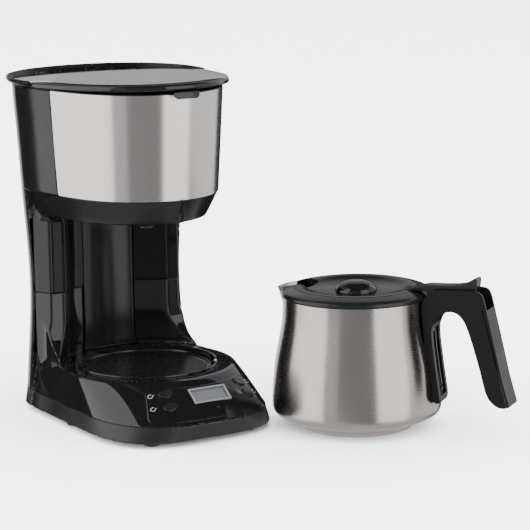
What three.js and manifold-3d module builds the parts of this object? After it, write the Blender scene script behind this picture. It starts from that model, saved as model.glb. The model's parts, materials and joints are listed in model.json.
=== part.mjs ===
// Drip coffee maker with a detached brushed steel carafe.
// Millimetres, +Z up. The machine faces -Y; the carafe stands beside it on the same table.
// Modelled about the middle of the warming plate, then shifted to the middle of the whole set.
import * as THREE from 'three';
import { mergeVertices } from 'three/addons/utils/BufferGeometryUtils.js';
import Module from 'manifold-3d';

const wasm = await Module();
wasm.setup();

// ---------------------------------------------------------------- driving dimensions
const SHIFT = [-78, 57, 0];            // plate middle -> middle of the set's footprint
const GAP = 0.3;                       // air between pieces that meet
const WALL = 2.6;                      // moulded wall

const TOP_Z = 335;                     // top of the raised rim
const HEAD_Z = 226;                    // lower edge of the steel band
const RING_Z = 201;                    // underside of the brew head
const WAIST_Z = 121;                   // joint between upper and lower column
const DECK_Z = 54.5;                   // flat deck round the plate
const SKIRT_Z = 21;                    // top of the satin skirt
const BASE_Z = 5;                      // underside of the skirt

const HEAD_MID = 44.6;                 // plan middle of the head, along Y
const HEAD_PLAN = [112, 0.5, 14.4, 5.5, -0.6]; // cosine terms of the head outline
const HEAD_REACH = 105;                // mean outline radius, turns a wall into a scale
const BAY_R = 87;                      // concave bay wall round the plate
const PILLAR_Y = 65;                   // front face of the bay pillars
const SEAM_Y = 82;                     // where glossy pillars meet the satin back
const DECK_R = 84;

const RING_OUT = 69.9;
const RING_IN = 62.5;
const PLATE_Z = 50;
const OUTLET_R = 14.4;
const BASKET_AT = [0, -2];             // filter basket and drip outlet
const GLAND_AT = [-40, 24];            // cord gland on the back: x and z

const CARAFE_AT = [153.1, -142.1];
const CARAFE_TURN = -54.8 * Math.PI / 180;  // the way the handle points
const PIN = [109.6, 134.5];            // carafe lid pin: reach and height

// ---------------------------------------------------------------- materials
const material = (name, colour, roughness, metalness) =>
  Object.assign(new THREE.MeshStandardMaterial({ color: colour, roughness, metalness }), { name });
const GLOSS = material('gloss_black', 0x08080a, 0.12, 0);
const SATIN = material('satin_black', 0x141416, 0.42, 0);
const GREY = material('grey_plastic', 0x4a4a4c, 0.5, 0);
const CLEAR = material('clear_plastic', 0x8f979a, 0.1, 0);
const BRUSHED = material('brushed_steel', 0xa9a5a2, 0.32, 1);
const STEEL = material('steel', 0xb8b8b8, 0.3, 1);
const ENAMEL = material('black_enamel', 0x0a0a0c, 0.25, 0.2);
const ALLOY = material('aluminium', 0xb0b0b2, 0.4, 1);
const RUBBER = material('rubber', 0x101010, 0.9, 0);
const SILICONE = material('silicone', 0xcfcfca, 0.6, 0);
const BOARD = material('circuit_board', 0x1d5a32, 0.6, 0);

// ---------------------------------------------------------------- solid helpers
function solid(geometry) {
  const g = geometry.clone();
  g.deleteAttribute('normal');
  g.deleteAttribute('uv');
  const m = mergeVertices(g, 1e-4);
  const p = m.attributes.position;
  const index = Array.from(m.index.array);
  const v = i => new THREE.Vector3().fromBufferAttribute(p, i);
  let volume = 0;
  for (let i = 0; i < index.length; i += 3) {
    volume += v(index[i]).dot(v(index[i + 1]).cross(v(index[i + 2])));
  }
  if (volume < 0) {
    for (let i = 0; i < index.length; i += 3) {
      [index[i + 1], index[i + 2]] = [index[i + 2], index[i + 1]];
    }
  }
  return new wasm.Manifold(new wasm.Mesh({
    numProp: 3,
    vertProperties: new Float32Array(p.array),
    triVerts: new Uint32Array(index),
  }));
}

function box(x0, x1, y0, y1, z0, z1) {
  const g = new THREE.BoxGeometry(x1 - x0, y1 - y0, z1 - z0);
  return solid(g.translate((x0 + x1) / 2, (y0 + y1) / 2, (z0 + z1) / 2));
}

function disc(r, z0, z1, x = 0, y = 0, n = 32, rTop = r) {
  const g = new THREE.CylinderGeometry(rTop, r, z1 - z0, n);
  return solid(g.rotateX(Math.PI / 2).translate(x, y, (z0 + z1) / 2));
}

function rodX(r, x0, x1, y, z, n = 16) {
  const g = new THREE.CylinderGeometry(r, r, x1 - x0, n).rotateZ(Math.PI / 2);
  return solid(g.translate((x0 + x1) / 2, y, z));
}

function rodY(r, y0, y1, x, z, n = 16) {
  const g = new THREE.CylinderGeometry(r, r, y1 - y0, n);
  return solid(g.translate(x, (y0 + y1) / 2, z));
}

// A turned body from [radius, height] pairs; a loop if it does not touch the axis.
function turned(profile, n = 28) {
  const pts = profile.map(([r, z]) => new THREE.Vector2(r, z));
  const onAxis = profile[0][0] === 0 && profile[profile.length - 1][0] === 0;
  if (!onAxis) pts.push(pts[0].clone());
  return solid(new THREE.LatheGeometry(pts, n).rotateX(Math.PI / 2));
}

// A skin over matching outlines, closed at both ends; each outline is star shaped.
function loft(outlines) {
  const n = outlines[0].length;
  const positions = outlines.flat(2);
  const index = [];
  for (let k = 0; k + 1 < outlines.length; k++) {
    for (let i = 0; i < n; i++) {
      const a = k * n + i;
      const b = k * n + (i + 1) % n;
      index.push(a, b, b + n, a, b + n, a + n);
    }
  }
  for (const [k, flip] of [[0, true], [outlines.length - 1, false]]) {
    const mid = [0, 1, 2].map(c => outlines[k].reduce((s, q) => s + q[c], 0) / n);
    const m = positions.length / 3;
    positions.push(...mid);
    for (let i = 0; i < n; i++) {
      const a = k * n + i;
      const b = k * n + (i + 1) % n;
      index.push(m, flip ? b : a, flip ? a : b);
    }
  }
  const g = new THREE.BufferGeometry();
  g.setAttribute('position', new THREE.Float32BufferAttribute(positions, 3));
  g.setIndex(index);
  return solid(g);
}

// A flat outline pushed along X, or along Y, both ways from the middle.
function slabX(outline, x0, x1) {
  const shape = new THREE.Shape(outline.map(([y, z]) => new THREE.Vector2(y, z)));
  const g = new THREE.ExtrudeGeometry(shape, { depth: x1 - x0, bevelEnabled: false });
  return solid(g.rotateZ(Math.PI / 2).rotateY(Math.PI / 2).translate(x0, 0, 0));
}

function slabY(outline, y0, y1) {
  const shape = new THREE.Shape(outline.map(([x, z]) => new THREE.Vector2(x, z)));
  const g = new THREE.ExtrudeGeometry(shape, { depth: y1 - y0, bevelEnabled: false });
  return solid(g.rotateX(Math.PI / 2).translate(0, y1, 0));
}

function sweep(points, r, n = 12, steps = 24, closed = false) {
  const path = new THREE.CatmullRomCurve3(points.map(p => new THREE.Vector3(...p)), closed);
  const shape = new THREE.Shape().absarc(0, 0, r, 0, Math.PI * 2);
  const g = new THREE.ExtrudeGeometry(shape, { steps, curveSegments: n / 2, extrudePath: path });
  return solid(g);
}

// ---------------------------------------------------------------- plan outlines
function headOutline(scale, z, n = 32) {
  return Array.from({ length: n }, (_, i) => {
    const t = 2 * Math.PI * i / n;
    const r = scale * HEAD_PLAN.reduce((s, c, k) => s + c * Math.cos(k * t), 0);
    return [r * Math.sin(t), HEAD_MID - r * Math.cos(t), z];
  });
}

const headLoft = sections => loft(sections.map(([z, scale]) => headOutline(scale, z)));
const inward = (sections, wall) => sections.map(([z, s]) => [z, s - wall / HEAD_REACH]);

// Rounded outline: half width a, reach f to the front and b to the back of middle y0.
function baseOutline({ a, f, b, y0, p }, z, n = 32) {
  return Array.from({ length: n }, (_, i) => {
    const t = 2 * Math.PI * i / n;
    const round = v => Math.sign(v) * Math.abs(v) ** (2 / p);
    const reach = Math.cos(t) > 0 ? f : b;
    return [a * round(Math.sin(t)), y0 - reach * round(Math.cos(t)), z];
  });
}

// The base spreads from the round deck down to the skirt.
function baseLoft(grow, zLow, zHigh) {
  const deck = { a: DECK_R, f: DECK_R, b: 84, y0: 0, p: 2 };
  const skirt = { a: 89.5, f: 110, b: 172, y0: -20, p: 2.8 };
  const foot = { a: 92, f: 106, b: 177, y0: -20, p: 3.3 };
  const blend = (u, v, t) => Object.fromEntries(
    Object.keys(u).map(k => [k, u[k] + (v[k] - u[k]) * t]));
  const at = z => {
    if (z <= SKIRT_Z) return blend(foot, skirt, (z - BASE_Z) / (SKIRT_Z - BASE_Z));
    const t = (DECK_Z - Math.min(z, DECK_Z)) / (DECK_Z - SKIRT_Z);
    return blend(deck, skirt, t ** 0.85);
  };
  const heights = [21, 28, 37, 46, 51.5].filter(z => z > zLow && z < zHigh);
  return loft([zLow, ...heights, zHigh].map(z => {
    const o = at(z);
    return baseOutline({ ...o, a: o.a + grow, f: o.f + grow, b: o.b + grow }, z);
  }));
}

// ---------------------------------------------------------------- housings
const COLUMN = [[BASE_Z, 0.923], [22, 0.908], [68, 0.881], [109, 0.856], [130, 0.857],
  [171, 0.872], [RING_Z - GAP, 0.888]];

function columnSolid(wall) {
  const body = headLoft(inward(COLUMN, wall).map(([z, s], i) => [i ? z : z + wall, s]));
  const front = slabY([[-120, -5], [120, -5], [120, 240], [-120, 240]], -140, PILLAR_Y + wall);
  const bevel = side => loft([0, 240].map(z => [
    [side * (73 - wall), 50, z], [side * 130, 50, z], [side * 130, SEAM_Y + 60, z],
    [side * (82.5 - wall * 0.6), SEAM_Y, z], [side * (73 - wall), PILLAR_Y + wall, z]]));
  return body.subtract(front).subtract(bevel(1)).subtract(bevel(-1));
}

function bodySolid(wall) {
  const spread = baseLoft(-wall, BASE_Z + (wall ? -1 : 0), DECK_Z - wall);
  const bay = disc(BAY_R + wall, DECK_Z - wall, 240, 0, 0, 40);
  return spread.add(columnSolid(wall)).subtract(bay);
}

const shell = bodySolid(0).subtract(bodySolid(WALL))
  .subtract(box(-60, 60, 68, 140, RING_Z - 6, 240))
  .subtract(headLoft([[BASE_Z - 1, 0.89], [BASE_Z + 4, 0.89]]));

// Side view of everything in front of the seam between glossy front and satin back.
function seamRegion(gap) {
  const corner = [[SEAM_Y - 2, 52], [SEAM_Y - 8, 41], [SEAM_Y - 18, 32], [40, 25], [28, SKIRT_Z]];
  const edge = corner.map(([y, z]) => [y - gap, z + gap]);
  const outline = [[-150, SKIRT_Z + gap], ...edge.reverse(), [SEAM_Y - gap, 62],
    [SEAM_Y - gap, 240], [-150, 240]];
  return slabX(outline, -120, 120).add(box(-74 + gap, 74 - gap, -150, 93 - gap, 30 + gap, 240));
}

function frameShell() {
  const floorRing = box(-120, 120, -160, 200, BASE_Z - 1, BASE_Z + 3);
  return shell.subtract(seamRegion(0)).subtract(floorRing.intersect(baseLoft(-3.4, 3, 9)))
    .subtract(rodY(6.8, 120, 180, ...GLAND_AT));
}

function deckHousing() {
  const lower = box(-130, 130, -160, 160, SKIRT_Z, WAIST_Z - GAP);
  const plateHole = disc(66.6, 40, 60, 0, 0, 36);
  return shell.intersect(seamRegion(GAP)).intersect(lower)
    .subtract(plateHole).subtract(panelRegion(0));
}

function bayHousing() {
  return shell.intersect(seamRegion(GAP)).intersect(box(-130, 130, 0, 160, WAIST_Z, 240));
}

// ---------------------------------------------------------------- brew head
const HEAD = [[HEAD_Z, 0.894], [280, 0.925], [TOP_Z - 9, 0.95]];
const STEEL_BACK_Y = 23;

function headShell() {
  const sections = [[RING_Z, 0.888], ...HEAD];
  const outer = headLoft(sections);
  const inner = headLoft(inward(sections, WALL + 1.4).map(([z, s], i) => [i ? z + 0.5 : z - 1, s]));
  const pocket = headLoft(HEAD.map(([z, s]) => [z, s + 0.05]))
    .subtract(headLoft(HEAD.map(([z, s]) => [z, s - 1.6 / HEAD_REACH])))
    .intersect(box(-120, 120, -150, STEEL_BACK_Y + GAP, HEAD_Z, TOP_Z));
  const ringRoom = box(-130, 130, -150, 62, RING_Z - 1, HEAD_Z + 0.1);
  return outer.subtract(inner).subtract(pocket).subtract(ringRoom);
}

function steelBand() {
  const top = TOP_Z - 9.2;
  const sections = [[HEAD_Z + GAP, 0.894], [280, 0.925], [top, 0.95]];
  return headLoft(sections)
    .subtract(headLoft(inward(sections, 1.2).map(([z, s], i) => [z + (i === 2 ? 1 : i ? 0 : -1), s])))
    .intersect(box(-120, 120, -150, STEEL_BACK_Y, HEAD_Z, TOP_Z));
}

function headRing() {
  const sections = [[RING_Z, 0.7735], [206, 0.8], [HEAD_Z - GAP, 0.89]];
  const inner = inward(sections, WALL).map(([z, s], i) => [i ? z + (i === 2 ? 1 : 0) : z + WALL, s]);
  return headLoft(sections).subtract(headLoft(inner))
    .intersect(box(-130, 130, -150, 61.6, RING_Z, HEAD_Z))
    .subtract(disc(OUTLET_R + GAP, RING_Z - 5, RING_Z + 8, ...BASKET_AT));
}

function topRim() {
  const zLedge = TOP_Z - 8.8;
  const seat = headLoft([[zLedge, 0.948], [zLedge + 2.4, 0.95]])
    .subtract(headLoft([[zLedge - 1, 0.885], [zLedge + 3, 0.885]]));
  const flare = [[zLedge, 0.951], [TOP_Z - 4, 0.998], [TOP_Z, 1]];
  const wall = headLoft(flare)
    .subtract(headLoft([[zLedge - 1, 0.92], [zLedge + 2, 0.955], [TOP_Z + 1, 0.98]]))
    .intersect(box(-130, 130, 50, 200, TOP_Z - 10, TOP_Z + 1));
  return seat.add(wall);
}

// ---------------------------------------------------------------- brew lid
const LID_PIN = [147.5, TOP_Z - 5.4];  // y and z

function brewLid() {
  const low = TOP_Z - 6;
  const panel = headLoft([[low, 0.935], [low + 1, 0.945], [TOP_Z + 3, 0.945]])
    .intersect(box(-130, 130, -150, LID_PIN[0], low - 1, TOP_Z + 4));
  const corner = side => box(side > 0 ? 44 : -130, side > 0 ? 130 : -44, 140.5, 160, low - 1, TOP_Z + 5);
  const lip = headLoft([[low + 1.4, 0.975], [low + 2.6, 0.995], [TOP_Z - 1.5, 1], [TOP_Z + 3, 0.98]])
    .intersect(box(-130, 130, -150, 47, low, TOP_Z + 4));
  const tilt = slabX([[-110, TOP_Z + 2.3], [170, TOP_Z - 4.1], [170, TOP_Z + 20], [-110, TOP_Z + 20]],
    -130, 130);
  const tab = slabX([[-80, low + 1.6], [-80, TOP_Z - 1], [-86, TOP_Z - 1.5], [-91, low - 4],
    [-89, low - 5], [-85.4, low + 0.6]], -14, 14);
  const barrel = rodX(2.6, -30, 30, ...LID_PIN);
  const bore = rodX(1.35, -40, 40, ...LID_PIN);
  const notch = side => box(side > 0 ? 30.7 : -40.6, side > 0 ? 40.6 : -30.7, 143.5, 170,
    low - 1, TOP_Z + 5);
  return panel.add(lip).subtract(tilt).subtract(notch(1)).subtract(notch(-1))
    .subtract(corner(1)).subtract(corner(-1)).add(tab).add(barrel).subtract(bore);
}

const lidPin = () => rodX(1.15, -38.5, 38.5, ...LID_PIN, 12);

function rimWithPinLugs() {
  const lug = side => slabX([[144.2, TOP_Z - 8.6], [157, TOP_Z - 8.6], [157, TOP_Z - 2.6],
    [146, TOP_Z - 2.6]], side > 0 ? 31.2 : -39.8, side > 0 ? 39.8 : -31.2);
  const strip = headLoft([[TOP_Z - 6.4, 0.955], [TOP_Z - 4, 0.962]])
    .intersect(box(-130, 130, 150.9, 200, TOP_Z - 7, TOP_Z));
  const room = box(-31, 31, 143.5, 150.9, TOP_Z - 9, TOP_Z - 5);
  const bore = rodX(1.4, -60, 60, ...LID_PIN, 12);
  return topRim().subtract(room).add(strip).add(lug(1)).add(lug(-1)).subtract(bore);
}

function lidSplash() {
  return disc(30, TOP_Z - 13, TOP_Z - 6.3, 0, -6, 28)
    .subtract(disc(27.6, TOP_Z - 14, TOP_Z - 8.4, 0, -6, 28));
}

// ---------------------------------------------------------------- water path
function waterTank() {
  const outer = headLoft([[150, 0.8], [RING_Z, 0.83], [300, 0.87]])
    .intersect(box(-70, 70, 95, 170, 150, 300));
  const inner = headLoft([[153, 0.775], [RING_Z, 0.805], [301, 0.845]])
    .intersect(box(-67.5, 67.5, 97.5, 170, 153, 302));
  const outlet = disc(3.2, 140, 160, 40, 112, 20);
  const spigot = disc(5, 138, 151, 40, 112, 20);
  return outer.subtract(inner).add(spigot).subtract(outlet);
}

function filterBasket() {
  const [x, y] = BASKET_AT;
  const cup = turned([[3.4, 206], [3.4, 203.5], [9, 203], [9, 194.2], [OUTLET_R - 2, 194.2],
    [OUTLET_R - 2, 193.2], [OUTLET_R, 194], [OUTLET_R, 206], [30, 212], [47, 286.7], [52.5, 286.7],
    [52.5, 288.7], [45, 288.7], [28, 214], [12, 208.5]], 20);
  return cup.translate(x, y, 0);
}

function innerDeck() {
  return headLoft([[283.6, 0.885], [286.4, 0.886]])
    .subtract(disc(50.5, 280, 290, ...BASKET_AT)).subtract(box(-72, 72, 93, 190, 280, 290))
    .subtract(box(34, 62, 74, 94, 280, 290));
}

function showerHead() {
  const dish = turned([[0, 306], [34, 306], [36, 311], [34, 311], [32.5, 308], [0, 308]], 24);
  return dish.translate(...BASKET_AT, 0);
}

function showerArm() {
  const run = [[20, 40, 315], [36, 66, 315], [43, 80, 312]];
  return sweep([[0, 18, 315], ...run, [45, 85, 300]], 3.4, 8, 9)
    .subtract(sweep([[-3, 14, 315], ...run, [45.2, 85.4, 298]], 2.2, 6, 9));
}

function hose(points, r, bore) {
  const raised = ([x, y, z]) => [x, y, z + 1];
  const ends = [raised(points[0]), ...points.slice(1, -1), raised(points[points.length - 1])];
  return sweep(points, r, 8, 12).subtract(sweep(ends, bore, 6, 12));
}

const hotHose = () => hose([[45, 85, 296], [46, 85, 262], [50, 86, 200], [52, 87, 120],
  [52, 88, 66], [52, 86, 48], [46, 70, 39], [35, 52, 38]], 4.6, 3);
const coldHose = () => hose([[40, 112, 136.5], [38, 112, 110], [20, 104, 70], [-10, 90, 46],
  [-26, 66, 40], [-32, 54, 40]], 4.6, 3);
const checkValve = () => sweep([[-33, 51.5, 40], [-34, 47, 40], [-35, 43, 40]], 4.4, 10, 3)
  .subtract(sweep([[-32.8, 52.5, 40], [-34, 47, 40], [-35.3, 42, 40]], 2, 6, 3));

function dripValve() {
  const [x, y] = BASKET_AT;
  return turned([[0, 190], [6, 190], [6, 192.5], [2.2, 193.5], [2.2, 206.6], [6.4, 208.2], [6.4, 209.8],
    [0, 209.8]], 16).translate(x, y, 0);
}

function dripSpring() {
  const turns = 3;
  const steps = turns * 9;
  const pts = Array.from({ length: steps + 1 }, (_, i) => {
    const t = 2 * Math.PI * i / 9;
    return [BASKET_AT[0] + 4.6 * Math.cos(t), BASKET_AT[1] + 4.6 * Math.sin(t), 194.2 + 6.8 * i / steps];
  });
  return sweep(pts, 0.5, 4, steps);
}

const dripSeal = () => turned([[3.7, 206.4], [5.2, 206.8], [5.2, 207.4], [3.7, 206.9]], 12)
  .translate(...BASKET_AT, 0);

// ---------------------------------------------------------------- warming plate and heater
const plateRing = () => turned([[RING_IN + 0.4, 51.2], [66, 52.4], [66, DECK_Z + GAP],
  [RING_OUT, DECK_Z + GAP], [RING_OUT, 55.6], [RING_OUT - 0.8, 56], [RING_OUT - 3, 55.6],
  [RING_IN + 0.4, 52.4]], 32);
const warmingPlate = () => turned([[0, 48.4], [59, 48.4], [RING_IN - 0.2, 49.6], [RING_IN - 0.2, 51.4],
  [60.6, 51.4], [58.6, PLATE_Z], [0, PLATE_Z]], 32);

function heater() {
  const arc = Array.from({ length: 13 }, (_, i) => {
    const t = -Math.PI * 1.28 + Math.PI * 1.56 * i / 12 + Math.PI / 2 + Math.PI * 0.72 - 0.5;
    return [44 * Math.sin(t - 0.06), -44 * Math.cos(t - 0.06), 41.9];
  });
  return sweep(arc, 4.8, 8, 16);
}

const heatPlate = () => disc(54, 47, 48.1, 0, 0, 28);
const thermostat = () => disc(8, 39.5, 46.7, 0, 4, 20);
const thermalFuse = () => rodX(2.6, -14, 14, 24, 43.6, 16);

// ---------------------------------------------------------------- controls
const SLOPE = 36 * Math.PI / 180;
const BUTTONS = {
  upper_left: [-33.7, -94, 45.1, -0.19],
  upper_right: [50.9, -87.1, 44, 0.33],
  lower_left: [-35.9, -107.4, 35.5, -0.19],
  lower_right: [54.3, -99, 35, 0.37],
};
const DISPLAY = [9, -103.9, 41.4];
const PANEL = [[-63, 23.5], [76, 23.5], [62, 49.5], [-49.5, 49.5]];  // seen from the front, x and z

function panelRegion(gap) {
  const inset = PANEL.map(([x, z]) => [x - Math.sign(x) * gap, z + (z < 36 ? gap : -gap)]);
  return slabY(inset, -160, -55 - gap);
}

// Put a piece made about the Z axis onto the sloping front at a point, leaning sideways by `lean`.
function onSlope(piece, [x, y, z], lean = 0) {
  const out = new THREE.Vector3(lean, -Math.sin(SLOPE), Math.cos(SLOPE)).normalize();
  const across = new THREE.Vector3(1, 0, 0).addScaledVector(out, -out.x).normalize();
  const up = new THREE.Vector3().crossVectors(out, across);
  return piece.transform([across.x, across.y, across.z, 0, up.x, up.y, up.z, 0,
    out.x, out.y, out.z, 0, x, y, z, 1]);
}

function oval(a, b, z0, z1) {
  const g = new THREE.CylinderGeometry(1, 1, z1 - z0, 20).rotateX(Math.PI / 2).scale(a, b, 1);
  return solid(g.translate(0, 0, (z0 + z1) / 2));
}

function controlPanel() {
  let plate = baseLoft(0.6, 21, 52).subtract(baseLoft(-1.6, 20, 53)).intersect(panelRegion(GAP));
  for (const [x, y, z, lean] of Object.values(BUTTONS)) {
    plate = plate.subtract(onSlope(oval(7.5, 5.5, -8, 8), [x, y, z], lean));
  }
  plate = plate.subtract(onSlope(box(-20.4, 20.4, -9.4, 9.4, -8, 8), DISPLAY));
  return plate.subtract(onSlope(disc(1.5, -8, 8, 0, 0, 12), LED));
}

const LED = [10.4, -117.2, 31.4];
const button = key => {
  const [x, y, z, lean] = BUTTONS[key];
  return onSlope(oval(7, 5, -3.2, 1.4), [x, y, z], lean);
};
const displayBezel = () => onSlope(
  box(-20, 20, -9, 9, -1.4, 1.2).subtract(box(-17.4, 17.4, -6.6, 6.6, -2, 2)), DISPLAY);
const displayLens = () => onSlope(box(-17.1, 17.1, -6.3, 6.3, -1.2, 0.2), DISPLAY);
const displayModule = () => onSlope(box(-18, 18, -7.5, 7.5, -5.4, -1.8), DISPLAY);
const controlBoard = () => onSlope(box(-44, 42, -11, 13, -9.4, -7.8), [7, -96, 41.5]);
const ledLens = () => onSlope(disc(1.2, -4, 0.8, 0, 0, 12), LED);

// ---------------------------------------------------------------- underside
const FEET = { front_left: [-52, -100], front_right: [52, -100], side_left: [-78, 10],
  side_right: [78, 10], back_left: [-50, 126], back_right: [50, 126] };

function bottomCover() {
  let plate = baseLoft(-3.7, BASE_Z, BASE_Z + 2.6);
  for (const [x, y] of Object.values(FEET)) plate = plate.subtract(disc(1.9, 0, 12, x, y, 8));
  return plate;
}

const foot = key => disc(7.5, 0, BASE_Z - GAP, ...FEET[key], 12, 8.5)
  .subtract(disc(4.2, -1, 8, ...FEET[key], 8));
const footScrew = key => disc(3.4, 2.6, 4.6, ...FEET[key], 8).add(disc(1.5, 4.5, 14, ...FEET[key], 6));
const cordGland = () => rodY(6.5, 141, 160, ...GLAND_AT).add(rodY(9, 149, 152, ...GLAND_AT));

// ---------------------------------------------------------------- carafe
// Made about its own axis, with the handle on +X.
const atCarafe = piece => piece
  .transform([Math.cos(CARAFE_TURN), Math.sin(CARAFE_TURN), 0, 0,
    -Math.sin(CARAFE_TURN), Math.cos(CARAFE_TURN), 0, 0, 0, 0, 1, 0, ...CARAFE_AT, 0, 1]);

function carafeBody() {
  const outer = [[54.5, 0], [54.9, 2.6], [62, 3.4], [72, 6.4], [79, 11], [82.4, 18], [82.4, 30],
    [79.5, 62], [73, 97], [71.7, 110], [71.4, 128]];
  const inner = outer.slice(2).map(([r, z]) => [r - 1, z + (z < 15 ? 1 : 0)]).reverse();
  const cup = turned([[0, 2.2], [49, 2.2], [51, 0], ...outer, ...inner, [50, 3.8], [0, 3.8]]);
  const reaches = grow => [[106, 0], [118, 4 + grow], [126, 6.2 + grow], [133.5, 8 + grow]];
  const beak = grow => loft(reaches(grow).map(([z, reach]) => [
    [-58, -17 - grow, z], [-58, 17 + grow, z], [-70.4, 15 + grow * 0.6, z], [-71 - reach, 3, z],
    [-71 - reach, -3, z], [-70.4, -15 - grow * 0.6, z]]));
  const hollow = beak(-1.4).translate(1.6, 0, 1.2).subtract(box(-200, 0, -50, 50, 90, 108));
  const cutTop = slabY([[-90, 131], [-50, 134.5], [-50, 160], [-90, 160]], -40, 40);
  const bore = turned([[0, 60], [72, 60], [70.4, 110], [70.4, 140], [0, 140]]);
  return cup.add(beak(0).subtract(cutTop).subtract(bore)).subtract(hollow);
}

function carafeCollar() {
  const ring = turned([[60.2, 136.7], [64, 136.1], [69, 134.8], [72, 133.1], [73, 130.8], [71.8, 128.4],
    [60.2, 128.4]]);
  const gate = box(-90, -40, -19, 19, 120, 145);
  return ring.subtract(gate);
}

const HANDLE_HALF = 13.5;
const SLOT_HALF = 8.4;

function handleOutline() {
  return [[80, 138], [90, 140.8], [126, 142], [133, 136], [145.7, 83], [157.8, 34], [155, 30.8],
    [147, 31], [139, 37], [134.6, 46], [125, 81], [117.6, 103], [113, 112.4], [107.4, 118.4],
    [100.6, 120.3], [92, 118.2], [85.2, 112.2], [81.8, 104], [83, 81.5], [87, 52], [89.6, 34],
    [87.6, 29], [83.4, 28.6], [80.6, 36], [78.2, 62], [75, 96], [73.6, 112], [73.6, 127]];
}

function carafeHandle() {
  const block = slabY(handleOutline(), -HANDLE_HALF, HANDLE_HALF);
  const room = [[96, 124.5], [108, 124.5], [116, 117], [121, 110], [131, 110], [133, 124], [134, 150],
    [96, 150]];
  const lever = slabY(room, -SLOT_HALF, SLOT_HALF).add(slabY([[130, 122.4], [150, 122.4], [150, 150],
    [130, 150]], -SLOT_HALF, SLOT_HALF));
  const arm = slabY([[74, 130.5], [97, 130.5], [97, 150], [74, 150]], -SLOT_HALF, SLOT_HALF);
  const pin = rodY(2.2, -11.8, 11.8, ...PIN, 20);
  const channel = slabY([[87.6, 36], [85, 54], [81, 82], [79.9, 102], [100, 102], [100, 36]], -7.5, 7.5);
  const body = turned([[0, 0], [83, 0], [83, 30], [82, 42], [80.1, 62], [77, 80], [73.7, 97], [72.3, 110],
    [72, 128], [74, 129], [74, 134], [0, 150]]);
  const cover = slabY(coverOutline(0), -20, 20);
  return block.subtract(lever).subtract(arm).subtract(pin).subtract(channel)
    .subtract(body).subtract(cover).subtract(strapScrewShape(GAP));
}

function coverOutline(gap) {
  return [[131.4 + gap, 132 - gap], [150, 132], [170, 34], [158, 20], [155.4 + gap, 31.5 + gap],
    [143.6 + gap, 83]];
}

function handleCover() {
  return slabY(handleOutline(), -HANDLE_HALF, HANDLE_HALF).intersect(slabY(coverOutline(GAP), -20, 20))
    .intersect(slabY([[120, 122], [180, 122], [180, 0], [120, 0]], -20, 20));
}

function strapScrewShape(grow) {
  const head = disc(3.2 + grow, 3.4 - grow, 5.2, 0, 0, 16).add(disc(1.6 + grow, 0.3 - grow, 4, 0, 0, 16));
  return head.transform([0, 1, 0, 0, 0, 0, 1, 0, 1, 0, 0, 0, 83.2, 0, 42, 1]);
}
const strapScrew = () => strapScrewShape(0);

function carafeLid() {
  const dish = turned([[21, 129.5], [50, 130.6], [54, 132], [59.8, 133.4], [59.8, 137], [54, 137.2],
    [50.4, 136.2], [44, 133.2], [22.6, 131.6], [22.6, 133.4], [21, 133.4]], 32);
  const notch = box(-70, -49.5, -16, 16, 120, 150);
  const arm = slabY([[44, 132], [52, 132.6], [59, 136.2], [60, 137.1], [73.4, 136.8], [75, 139.4],
    [84, 139.4], [90, 133], [PIN[0] - 1, 130.6], [113.5, 130.4], [117, 133.4], [125, 133.4],
    [127.2, 151], [124.8, 153.4], [119, 150.4], [111, 146], [92, 144.4], [72, 143.2], [62, 139.8],
    [54, 137.4]], -6.8, 6.8);
  const bore = rodY(2.5, -20, 20, ...PIN, 20);
  return dish.add(arm).subtract(notch).subtract(bore).subtract(disc(22.2, 120, 160, 0, 0, 32));
}

const lidDome = () => turned([[19, 130.2], [20.5, 130.2], [20.2, 133], [18.6, 136.6], [15, 139.8], [9, 142],
  [3, 142.9], [3, 141.3], [9, 140.5], [13.8, 138.4], [17, 135.6], [18.5, 132.8]], 20);
const lidPinCarafe = () => rodY(2, -11.5, 11.5, ...PIN, 20);

// ---------------------------------------------------------------- assembly
const PIECES = [
  ['frame_shell', SATIN, frameShell], ['deck_housing', GLOSS, deckHousing],
  ['bay_housing', GLOSS, bayHousing], ['head_shell', SATIN, headShell],
  ['head_ring', SATIN, headRing], ['steel_band', BRUSHED, steelBand],
  ['top_rim', SATIN, rimWithPinLugs], ['brew_lid', GLOSS, brewLid],
  ['lid_pin', STEEL, lidPin], ['lid_splash_ring', SATIN, lidSplash],
  ['water_tank', SATIN, waterTank], ['filter_basket', SATIN, filterBasket],
  ['inner_deck', SATIN, innerDeck], ['shower_head', GREY, showerHead],
  ['shower_arm', GREY, showerArm], ['hot_hose', SILICONE, hotHose],
  ['cold_hose', SILICONE, coldHose], ['check_valve', GREY, checkValve],
  ['drip_valve', SATIN, dripValve], ['drip_spring', STEEL, dripSpring],
  ['drip_seal', SILICONE, dripSeal], ['plate_ring', SATIN, plateRing],
  ['warming_plate', ENAMEL, warmingPlate], ['heater_tube', ALLOY, heater],
  ['heat_plate', ALLOY, heatPlate], ['thermostat', STEEL, thermostat],
  ['thermal_fuse', SILICONE, thermalFuse], ['control_panel', GLOSS, controlPanel],
  ['display_bezel', GREY, displayBezel], ['display_lens', CLEAR, displayLens],
  ['display_module', GREY, displayModule], ['control_board', BOARD, controlBoard],
  ['led_lens', CLEAR, ledLens], ['bottom_cover', SATIN, bottomCover],
  ['cord_gland', SATIN, cordGland],
  ...Object.keys(BUTTONS).map(k => [`button_${k}`, GLOSS, () => button(k)]),
  ...Object.keys(FEET).map(k => [`foot_${k}`, RUBBER, () => foot(k)]),
  ...Object.keys(FEET).map(k => [`foot_screw_${k}`, STEEL, () => footScrew(k)]),
];
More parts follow.
